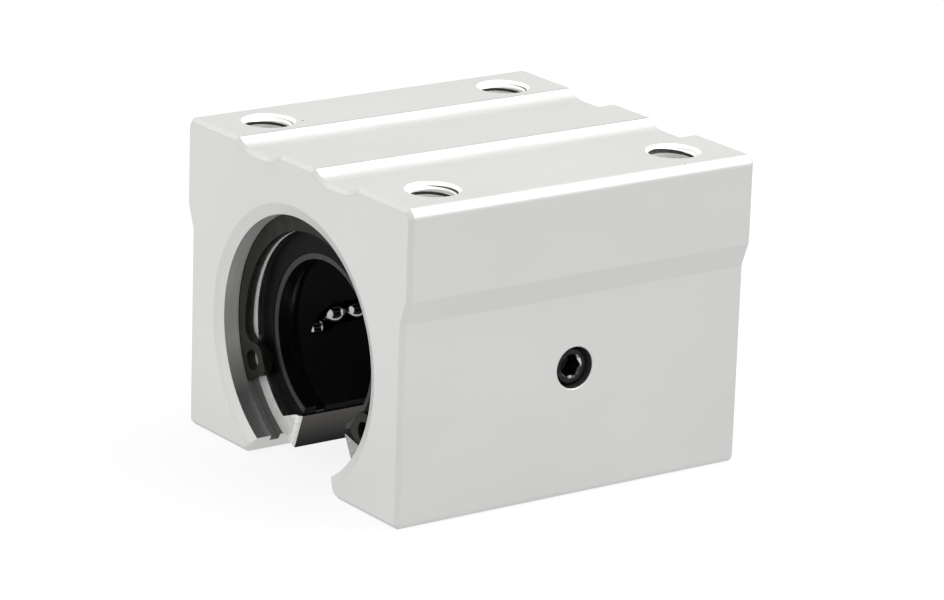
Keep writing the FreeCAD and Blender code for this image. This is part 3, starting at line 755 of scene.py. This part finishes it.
def thread_tree():
    """Geometry nodes: a helical ridge of trapezium section, closed at both ends."""
    tree, sockets = new_tree("thread_ridge", (
        ("Ridge radius", "NodeSocketFloat"), ("Pitch", "NodeSocketFloat"), ("Turns", "NodeSocketFloat"),
        ("Ridge height", "NodeSocketFloat"), ("Root width", "NodeSocketFloat"),
        ("Crest width", "NodeSocketFloat"), ("Section turn", "NodeSocketFloat"),
        ("Thread metal", "NodeSocketMaterial")))
    source = tree.nodes.new("NodeGroupInput").outputs
    rise = add_node(tree, "ShaderNodeMath", {0: source["Pitch"], 1: source["Turns"]}, operation="MULTIPLY")
    spiral = add_node(tree, "GeometryNodeCurveSpiral", {
        "Resolution": 48, "Rotations": source["Turns"], "Start Radius": source["Ridge radius"],
        "End Radius": source["Ridge radius"], "Height": rise.outputs["Value"], "Reverse": True})
    level = add_node(tree, "GeometryNodeSetCurveNormal", {"Curve": spiral.outputs["Curve"]}, mode="Z_UP")
    section = add_node(tree, "GeometryNodeCurvePrimitiveQuadrilateral", mode="TRAPEZOID", inputs={
        "Height": source["Ridge height"], "Bottom Width": source["Root width"],
        "Top Width": source["Crest width"], "Offset": 0.0})
    turn = add_node(tree, "ShaderNodeCombineXYZ", {"Z": source["Section turn"]})
    facing = add_node(tree, "GeometryNodeTransform", {
        "Geometry": section.outputs["Curve"], "Rotation": turn.outputs["Vector"]})
    ridge = add_node(tree, "GeometryNodeCurveToMesh", {
        "Curve": level.outputs["Curve"], "Profile Curve": facing.outputs["Geometry"], "Fill Caps": True})
    end_tree(tree, ridge.outputs["Mesh"], source["Thread metal"])
    return tree, sockets


thread_nodes, thread_sockets = thread_tree()


def thread_ridge(name, wall, pitch, turns, height, widths, metal, inside):
    """A right-hand helical ridge round the Z axis, from zero height up, inside a wall or outside a core.

    The widths are the ridge's at its root and at its crest, each as a share of the pitch.
    """
    middle = wall + thread_sink - height / 2 if inside else wall - thread_sink + height / 2
    return grown(name, bpy.data.meshes.new(name), thread_nodes, thread_sockets, {
        "Ridge radius": middle * MM, "Pitch": pitch * MM, "Turns": turns, "Ridge height": height * MM,
        "Root width": widths[0] * pitch * MM, "Crest width": widths[1] * pitch * MM,
        "Section turn": math.radians(270 if inside else 90), "Thread metal": metal})


def make_mount_threads():
    """The threads of the four tapped mounting holes, a piece for each hole, run out in the countersink.

    mount_first_crests says how deep each hole's first crest lies in the direction crest_side.
    """
    above_bottom, above_top = 0.6, 0.2
    slope = (mount_sink - mount_minor_radius) / mount_lead_depth
    under = 0.02
    countersink = [(top_height + rise - under, mount_sink + rise * slope) for rise in (-1.4, 1.0)]
    start = top_height - mount_depth + above_bottom
    end = top_height + above_top
    turns = (end - start) / mount_thread_pitch
    for number, ((x, y), depth) in enumerate(zip(mount_places, mount_first_crests), start=1):
        ridge = thread_ridge("mount_thread_%d" % number, mount_radius, mount_thread_pitch, turns,
                             mount_thread_height, mount_thread_widths, tapped, True)
        end_angle = crest_side + 360.0 * (end - top_height + depth) / mount_thread_pitch
        spin = Matrix.Rotation(math.radians(end_angle - 360.0 * turns), 4, "Z")
        ridge.data.transform(Matrix.Translation(Vector((0, 0, start)) * MM) @ spin)
        cone = turned("countersink", countersink, steps=64, axis="Z", solid=True)
        combine(ridge, [cone], "DIFFERENCE")
        shade(ridge, [tapped], sharp_angle=30.0)
        ridge.data.transform(Matrix.Translation(Vector((x, y, 0)) * MM))
        finish_piece(ridge, "block", "satin_aluminium")


make_housing()
make_mount_threads()

# ---- Bushing: sleeve, seals, snap rings ----


corners_of_opening = [(end, side) for end in (-1, 1) for side in (-1, 1)]


def ear(name, end, side, grow=0.0):
    """Where the sleeve's edge is thickened beside the seal, at one end and one side of the opening."""
    outline = []
    for angle, radius in ear_outline:
        turn = math.radians(-90 + side * (-90 - angle))
        outline.append((radius * math.cos(turn), radius * math.sin(turn)))
    if grow:
        outline = drawn_in(outline, side * grow)
    near, far = sorted((end * (ear_near - grow), end * (sleeve_half_length + grow)))
    return plate(name, outline, near, far)


def corner_cutter(end, side):
    """What rounds the corner between one end face and one cut face of the sleeve."""
    turn = math.radians(-90 + side * opening_angle / 2)
    outward = Vector((math.cos(turn), 0, math.sin(turn)))
    inward = Vector((-math.sin(turn), 0, math.cos(turn))) * side
    clear, radius = 0.4, cut_corner_round
    section = [(-clear, sleeve_half_length - radius)]
    section += arc_points((radius, sleeve_half_length - radius), radius, 180, 90, 10)
    section += [(radius, sleeve_half_length + clear), (-clear, sleeve_half_length + clear)]
    corners = []
    for reach in (flange_inner - 1.0, sleeve_radius + 1.0):
        corners += [outward * reach + inward * into + Vector((0, end * along, 0))
                    for into, along in section]
    return layered("corner_cutter", corners, len(section))


def sleeve_face(face):
    """The cut faces take the finish with painted shade, and the ends the paler one with a painted
    reflection.
    """
    centre, facing = face.center / MM, face.normal
    from_axis = math.hypot(centre.x, centre.z)
    round_the_axis = (facing.z * centre.x - facing.x * centre.z) / from_axis
    if abs(round_the_axis) > 0.97 and centre.z < 0 and from_axis > flange_inner:
        return edge_steel
    at_end = abs(centre.y) > sleeve_half_length - cut_corner_round and abs(facing.y) > 0.3
    return end_steel if at_end else sleeve_steel


def make_sleeve():
    """The open sleeve with a raised land over each loaded row and turned-in edges."""
    rear = [
        (sleeve_half_length - sleeve_chamfer, sleeve_radius),
        (sleeve_half_length, sleeve_radius - sleeve_chamfer),
        (sleeve_half_length, sleeve_bore),
    ]
    profile = rear + [(-along, radius) for along, radius in reversed(rear)]
    start = -90 + opening_angle / 2
    shape = turned("sleeve_detailed", profile, start, 360 - opening_angle, 240)

    def inner_band(name, half_length, radius, begin, sweep, steps):
        """A band that stands in from the sleeve's inside, sunk a little into its wall."""
        sunk = sleeve_bore + 0.6
        band = [(-half_length, radius), (half_length, radius), (half_length, sunk), (-half_length, sunk)]
        return turned(name, band, begin, sweep, steps)

    added = [inner_band("race_land", race_half_length, race_radius, middle - circuit_half - race_half_angle,
                        2 * race_half_angle, 24) for middle in circuit_middles]
    added += [inner_band("edge_flange", sleeve_half_length, flange_inner, begin, flange_angle, 2)
              for begin in (start, start - opening_angle - flange_angle)]
    added += [ear("edge_ear", end, side) for end, side in corners_of_opening]
    combine(shape, added, "UNION")
    combine(shape, [corner_cutter(end, side) for end, side in corners_of_opening], "DIFFERENCE")
    soften(shape, 0.06)
    shade(shape, [sleeve_steel, edge_steel, end_steel], sleeve_face)
    turn_about_shaft(shape, bushing_turn)
    finish_piece(shape, "block", "bearing_steel", "bearing_sleeve")


def make_seal(name, end):
    """A seal: body, sloping lip and the wiping edge, let into the sleeve's thickened edges."""
    outside = seal_face + seal_thickness
    rim = sleeve_bore - 0.05
    lip_top, lip_foot = (0.16, 0.10), (0.24, 0.05)
    profile = [
        (seal_face, rim),
        (outside, rim),
        (outside, seal_body),
        (outside - lip_top[0], seal_body - lip_top[1]),
        (outside - lip_foot[0], seal_lip + lip_foot[1]),
        (seal_face + seal_lip_width, seal_lip),
        (seal_face, seal_lip),
    ]
    if end < 0:
        profile = [(-along, radius) for along, radius in reversed(profile)]
    start = -90 + inner_opening / 2
    shape = turned(name + "_detailed", profile, start, 360 - inner_opening, 220)
    combine(shape, [ear("seal_notch", end, side, grow=0.04) for side in (-1, 1)], "DIFFERENCE")
    soften(shape, 0.08)

    def seal_part(face):
        """The lip's face, or the seal's body."""
        centre = face.center / MM
        from_axis = math.hypot(centre.x, centre.z)
        on_lip = seal_lip + 0.1 < from_axis < seal_body and abs(face.normal.y) > 0.6
        # Painted sheen: the lip's sloped face takes the greyer lip finish.
        return lip if on_lip and abs(centre.y) > seal_face + 1.0 else rubber

    shade(shape, [rubber, lip], seal_part)
    turn_about_shaft(shape, bushing_turn)
    finish_piece(shape, "block", "black_rubber", name)


def where_circles_meet(first, first_radius, second, second_radius, towards):
    """The meeting point of two circles that lies further in the given direction."""
    between = second - first
    distance = between.length
    between.normalize()
    along = (first_radius ** 2 - second_radius ** 2 + distance ** 2) / (2 * distance)
    aside = math.sqrt(first_radius ** 2 - along ** 2)
    square = Vector((-between.y, between.x))
    if square.dot(towards) < 0:
        square.negate()
    return first + between * along + square * aside


def snap_ring_outline():
    """Spring arc and lugs, gap at the bottom, in X and Z."""
    gap = lug_angle - gap_inset
    outer = arc_points((0, 0), ring_radius, -90 + gap, 270 - gap, 160)
    direction = Vector((math.sin(math.radians(lug_angle)), -math.cos(math.radians(lug_angle))))
    across = Vector((-direction.y, direction.x))
    base = math.degrees(math.atan2(direction.y, direction.x))
    half = lug_width / 2
    inner_centre = Vector((0, -ring_offset))

    def at(reach, side):
        """A place on the lug, by its reach from the shaft and its side of the lug's middle."""
        return direction * reach + across * side

    lower = at(lug_reach + lug_lower_round, lug_lower_round - half)
    upper = at(lug_reach + lug_upper_round, half - lug_upper_round)
    root = where_circles_meet(upper, lug_upper_round + lug_root_round,
                              inner_centre, ring_inner - lug_root_round, across)
    to_root = math.degrees(math.atan2(root.y - upper.y, root.x - upper.x))
    outward = math.degrees(math.atan2(root.y - inner_centre.y, root.x - inner_centre.x))
    lug = [tuple(at(lug_outer_reach, -half))]
    lug += arc_points(lower, lug_lower_round, base + 270, base + 180, 12)
    lug += arc_points(upper, lug_upper_round, base + 180, to_root, 14)
    lug += arc_points(root, lug_root_round, to_root - 180, outward, 14)
    inner = arc_points(inner_centre, ring_inner, 180 - outward, outward, 160)
    mirrored = [(-x, z) for x, z in lug]
    return outer + mirrored + inner[1:-1] + lug[::-1]


def make_snap_ring(name, end, turn):
    """A snap ring with its two plier holes."""
    middle = end * ring_middle
    half = ring_thickness / 2
    shape = plate(name + "_detailed", snap_ring_outline(), middle - half, middle + half)
    holes = []
    for side in (-1, 1):
        x = side * lug_hole_place * math.sin(math.radians(lug_angle))
        z = -lug_hole_place * math.cos(math.radians(lug_angle))
        circle = arc_points((x, z), lug_hole, 0, 360, 40)[:-1]
        holes.append(plate("plier_hole", circle, middle - ring_thickness, middle + ring_thickness))
    combine(shape, holes, "DIFFERENCE")
    soften(shape, 0.07)
    turn_about_shaft(shape, turn)
    shade(shape, [spring_steel])
    finish_piece(shape, "block", "phosphated_steel", name)


make_sleeve()
make_seal("seal_front", -1)
make_seal("seal_rear", 1)
make_snap_ring("snap_ring_front", -1, front_ring_turn)
make_snap_ring("snap_ring_rear", 1, rear_ring_turn)

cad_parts["ball_retainer"].data.materials[0] = resin
for node in ("end_ring_front", "end_ring_rear"):
    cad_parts[node].data.materials[0] = strip_steel

# ---- Adjusting screw ----


def make_adjusting_screw():
    """The grub screw: flat tip, chamfered drive end, thread, and a hex socket with a worn mouth."""
    tip_chamfer, drive_chamfer = 0.5, 0.12
    thread_start, thread_shortfall = 0.85, 1.3
    drive_end = screw_tip + screw_length
    core = screw_radius - screw_thread_height + thread_sink
    profile = [
        (screw_tip, core - tip_chamfer),
        (screw_tip + tip_chamfer, core),
        (drive_end - drive_chamfer, core),
        (drive_end, core - drive_chamfer),
    ]
    shape = turned("adjusting_screw_detailed", profile, steps=96, axis="X", solid=True)
    turns = (screw_length - thread_shortfall) / screw_thread_pitch
    ridge = thread_ridge("screw_thread", core, screw_thread_pitch, turns, screw_thread_height,
                         screw_thread_widths, black_steel, False)
    lying = Matrix.Rotation(math.pi / 2, 4, "Y")
    ridge.data.transform(Matrix.Translation(Vector((screw_tip + thread_start, 0, 0)) * MM) @ lying)
    combine(shape, [ridge], "UNION")
    corner = socket_size / math.sqrt(3)
    hexagon = arc_points((0.0, 0.0), corner, 0, 300, 5)
    corners = [(place, y, z) for place in (drive_end - socket_depth, drive_end + 1.0) for y, z in hexagon]
    corners.append((drive_end - socket_depth - socket_point, 0.0, 0.0))
    faces = [(index, (index + 1) % 6, (index + 1) % 6 + 6, index + 6) for index in range(6)]
    faces.append((11, 10, 9, 8, 7, 6))
    faces += [(12, (index + 1) % 6, index) for index in range(6)]
    socket = closed_mesh("socket_cutter", corners, faces)
    reach = corner + socket_mouth
    cone_foot, cone_top = (-0.26, -0.30), (0.2, 0.23)
    cone = [(drive_end + along, reach + aside) for along, aside in (cone_foot, cone_top)]
    mouth_cone = turned("socket_mouth", cone, steps=96, axis="X", solid=True)
    combine(shape, [socket, mouth_cone], "DIFFERENCE")

    def screw_face(face):
        """The socket's worn mouth, or the rest of the screw."""
        off_axis = face.center.yz.length / MM
        on_cone = face.center.x / MM > drive_end - 0.3 and 0.2 < face.normal.x < 0.95
        return worn_steel if on_cone and off_axis < reach + 0.05 else black_steel

    shade(shape, [black_steel, worn_steel], screw_face)
    finish_piece(shape, "adjusting_screw", "black_oxide_steel", "adjusting_screw")


make_adjusting_screw()

# ---- Balls ----


def track_place(travel):
    """Along and across a track at a distance travelled, and how far the ball has climbed."""
    straight = 2 * circuit_straight
    arc = math.pi * circuit_turn
    travel = travel % (2 * straight + 2 * arc)
    if travel < straight:
        return travel - circuit_straight, -circuit_turn, 0.0
    if straight + arc <= travel < 2 * straight + arc:
        return circuit_straight - (travel - straight - arc), circuit_turn, 1.0
    if travel < straight + arc:
        bend, end = (travel - straight) / circuit_turn, 1
    else:
        bend, end = math.pi - (travel - 2 * straight - arc) / circuit_turn, -1
    climb = min(max((bend - climb_start) / (climb_end - climb_start), 0.0), 1.0)
    along = end * (circuit_straight + circuit_turn * math.sin(bend))
    return along, -circuit_turn * math.cos(bend), climb


def ball_place(middle, travel):
    """A ball's centre in the block."""
    along, across, climb = track_place(travel)
    radius = loaded_radius + climb * (return_radius - loaded_radius)
    angle = math.radians(middle + bushing_turn + circuit_half * across / circuit_turn)
    return Vector((radius * math.cos(angle), along, radius * math.sin(angle)))


def next_ball(middle, travel, spacing):
    """The travel of the next ball, one spacing away in a straight line."""
    here = ball_place(middle, travel)
    near, far = travel + spacing * 0.8, travel + spacing * 1.3
    for _ in range(40):
        half_way = (near + far) / 2
        if (ball_place(middle, half_way) - here).length < spacing:
            near = half_way
        else:
            far = half_way
    return near


def ball_places(middle, start):
    """All ball centres of a circuit, evenly spaced so that the chain closes."""
    track = 4 * circuit_straight + 2 * math.pi * circuit_turn
    near, far = 2 * ball_radius * 0.98, 2 * ball_radius * 1.04
    for _ in range(40):
        spacing = (near + far) / 2
        travels = [start]
        for _ in range(circuit_balls):
            travels.append(next_ball(middle, travels[-1], spacing))
        if travels[-1] - start < track:
            near = spacing
        else:
            far = spacing
    return [ball_place(middle, travel) for travel in travels[:-1]]


def ball_tree():
    """Geometry nodes: a round ball on every point."""
    tree, sockets = new_tree("balls_on_points", (
        ("Geometry", "NodeSocketGeometry"), ("Ball radius", "NodeSocketFloat"),
        ("Ball steel", "NodeSocketMaterial")))
    source = tree.nodes.new("NodeGroupInput").outputs
    ball = add_node(tree, "GeometryNodeMeshIcoSphere", {"Radius": source["Ball radius"], "Subdivisions": 4})
    smooth = add_node(tree, "GeometryNodeSetShadeSmooth", {"Geometry": ball.outputs["Mesh"]})
    place = add_node(tree, "GeometryNodeInstanceOnPoints", {
        "Points": source["Geometry"], "Instance": smooth.outputs["Geometry"]})
    end_tree(tree, place.outputs["Instances"], source["Ball steel"])
    return tree, sockets


def make_circuit_balls():
    """One piece for each circuit's balls."""
    tree, sockets = ball_tree()
    stretches = ("loaded_balls", "return_balls", "front_turn_balls", "rear_turn_balls")
    for number, (middle, start) in enumerate(zip(circuit_middles, ball_starts), start=1):
        mesh = bpy.data.meshes.new("ball_centres_%d" % number)
        mesh.from_pydata([place * MM for place in ball_places(middle, start * 2 * ball_radius)], [], [])
        shape = grown("circuit_balls_%d" % number, mesh, tree, sockets,
                      {"Ball radius": ball_radius * MM, "Ball steel": ball_steel})
        finish_piece(shape, "block", "ball_steel", *["%s_%d" % (name, number) for name in stretches])


make_circuit_balls()

# ---- Floor, light and camera ----


def make_floor():
    """A pale sheet that the block stands on, lit by itself by a share, for the camera and in the metal."""
    size = 6.0
    direct_share, direct_tone = 0.86, 1.0
    mirrored_share, mirrored_tone = 0.85, 0.84
    height = cad_low.z
    mesh = bpy.data.meshes.new("floor")
    mesh.from_pydata([(-size, -size, height), (size, -size, height), (size, size, height),
                      (-size, size, height)], [], [(0, 1, 2, 3)])
    floor = new_object("floor", mesh)
    paper = bpy.data.materials.new("white_paper")
    paper.use_nodes = True
    tree = paper.node_tree
    shader = tree.nodes["Principled BSDF"]
    shader.inputs["Base Color"].default_value = (0.93, 0.93, 0.93, 1)
    shader.inputs["Roughness"].default_value = 0.9
    shader.inputs["Specular IOR Level"].default_value = 0.0
    seen = add_node(tree, "ShaderNodeLightPath").outputs
    mirrored = add_node(tree, "ShaderNodeMath", {0: seen["Is Glossy Ray"], 1: seen["Is Transmission Ray"]},
                        operation="MAXIMUM")
    under = shader.outputs["BSDF"]
    for rays, share, tone in ((mirrored.outputs["Value"], mirrored_share, mirrored_tone),
                              (seen["Is Camera Ray"], direct_share, direct_tone)):
        white = add_node(tree, "ShaderNodeEmission", {"Color": (tone, tone, tone, 1), "Strength": 1.0})
        part = add_node(tree, "ShaderNodeMath", {0: rays, 1: share}, operation="MULTIPLY")
        mix = add_node(tree, "ShaderNodeMixShader", {
            "Fac": part.outputs["Value"], 1: under, 2: white.outputs["Emission"]})
        under = mix.outputs["Shader"]
    tree.links.new(under, tree.nodes["Material Output"].inputs["Surface"])
    mesh.materials.append(paper)


def area_light(name, place, aim, width, height, power):
    """A rectangular softbox, placed and aimed in millimetres."""
    light = bpy.data.lights.new(name, "AREA")
    light.shape = "RECTANGLE"
    light.size, light.size_y = width * MM, height * MM
    light.energy = power
    lamp = new_object(name, light)
    lamp.location = Vector(place) * MM
    lamp.rotation_euler = (Vector(aim) - Vector(place)).to_track_quat("-Z", "Y").to_euler()


def make_world():
    """Even studio surroundings, pure white where the camera looks past the block."""
    world = bpy.data.worlds.new("studio")
    bpy.context.scene.world = world
    world.use_nodes = True
    tree = world.node_tree
    tree.nodes.clear()
    surround = add_node(tree, "ShaderNodeBackground", {"Color": (1.0, 1.0, 0.99, 1), "Strength": 0.99})
    white = add_node(tree, "ShaderNodeBackground", {"Color": (1, 1, 1, 1), "Strength": 1.0})
    seen = add_node(tree, "ShaderNodeLightPath")
    mix = add_node(tree, "ShaderNodeMixShader", {
        "Fac": seen.outputs["Is Camera Ray"],
        1: surround.outputs["Background"], 2: white.outputs["Background"]})
    add_node(tree, "ShaderNodeOutputWorld", {"Surface": mix.outputs["Shader"]})


def make_camera():
    """The camera, set by its turn round the block, its height, its tilt and its distance."""
    azimuth, elevation, roll = math.radians(54.234), math.radians(17.014), math.radians(1.885)
    distance = 551.17
    shift_right, shift_up = 0.907, -1.194
    aim = Vector((0.0, 0.0, 3.5))
    back = Vector((math.sin(azimuth) * math.cos(elevation), -math.cos(azimuth) * math.cos(elevation),
                   math.sin(elevation)))
    right = Vector((math.cos(azimuth), math.sin(azimuth), 0.0))
    up = back.cross(right)
    level_right = right * math.cos(roll) + up * math.sin(roll)
    level_up = up * math.cos(roll) - right * math.sin(roll)
    place = (aim + back * distance + level_right * shift_right + level_up * shift_up) * MM
    camera = new_object("camera", bpy.data.cameras.new("camera"))
    camera.data.lens = 172.6
    camera.data.sensor_width = 36.0
    camera.data.clip_start, camera.data.clip_end = 0.05, 50.0
    turn = Matrix((level_right, level_up, back)).transposed().to_4x4()
    camera.matrix_world = Matrix.Translation(place) @ turn
    bpy.context.scene.camera = camera


make_floor()
make_world()
area_light("overhead_softbox", (70, 170, 400), (0, 0, 0), 330, 380, 1.0)
area_light("rear_right_softbox", (290, 260, 260), (0, 0, 0), 240, 220, 0.32)
area_light("front_left_softbox", (-350, -130, 260), (0, 0, 0), 200, 200, 0.04)

make_camera()
bpy.context.scene.view_settings.view_transform = "Standard"
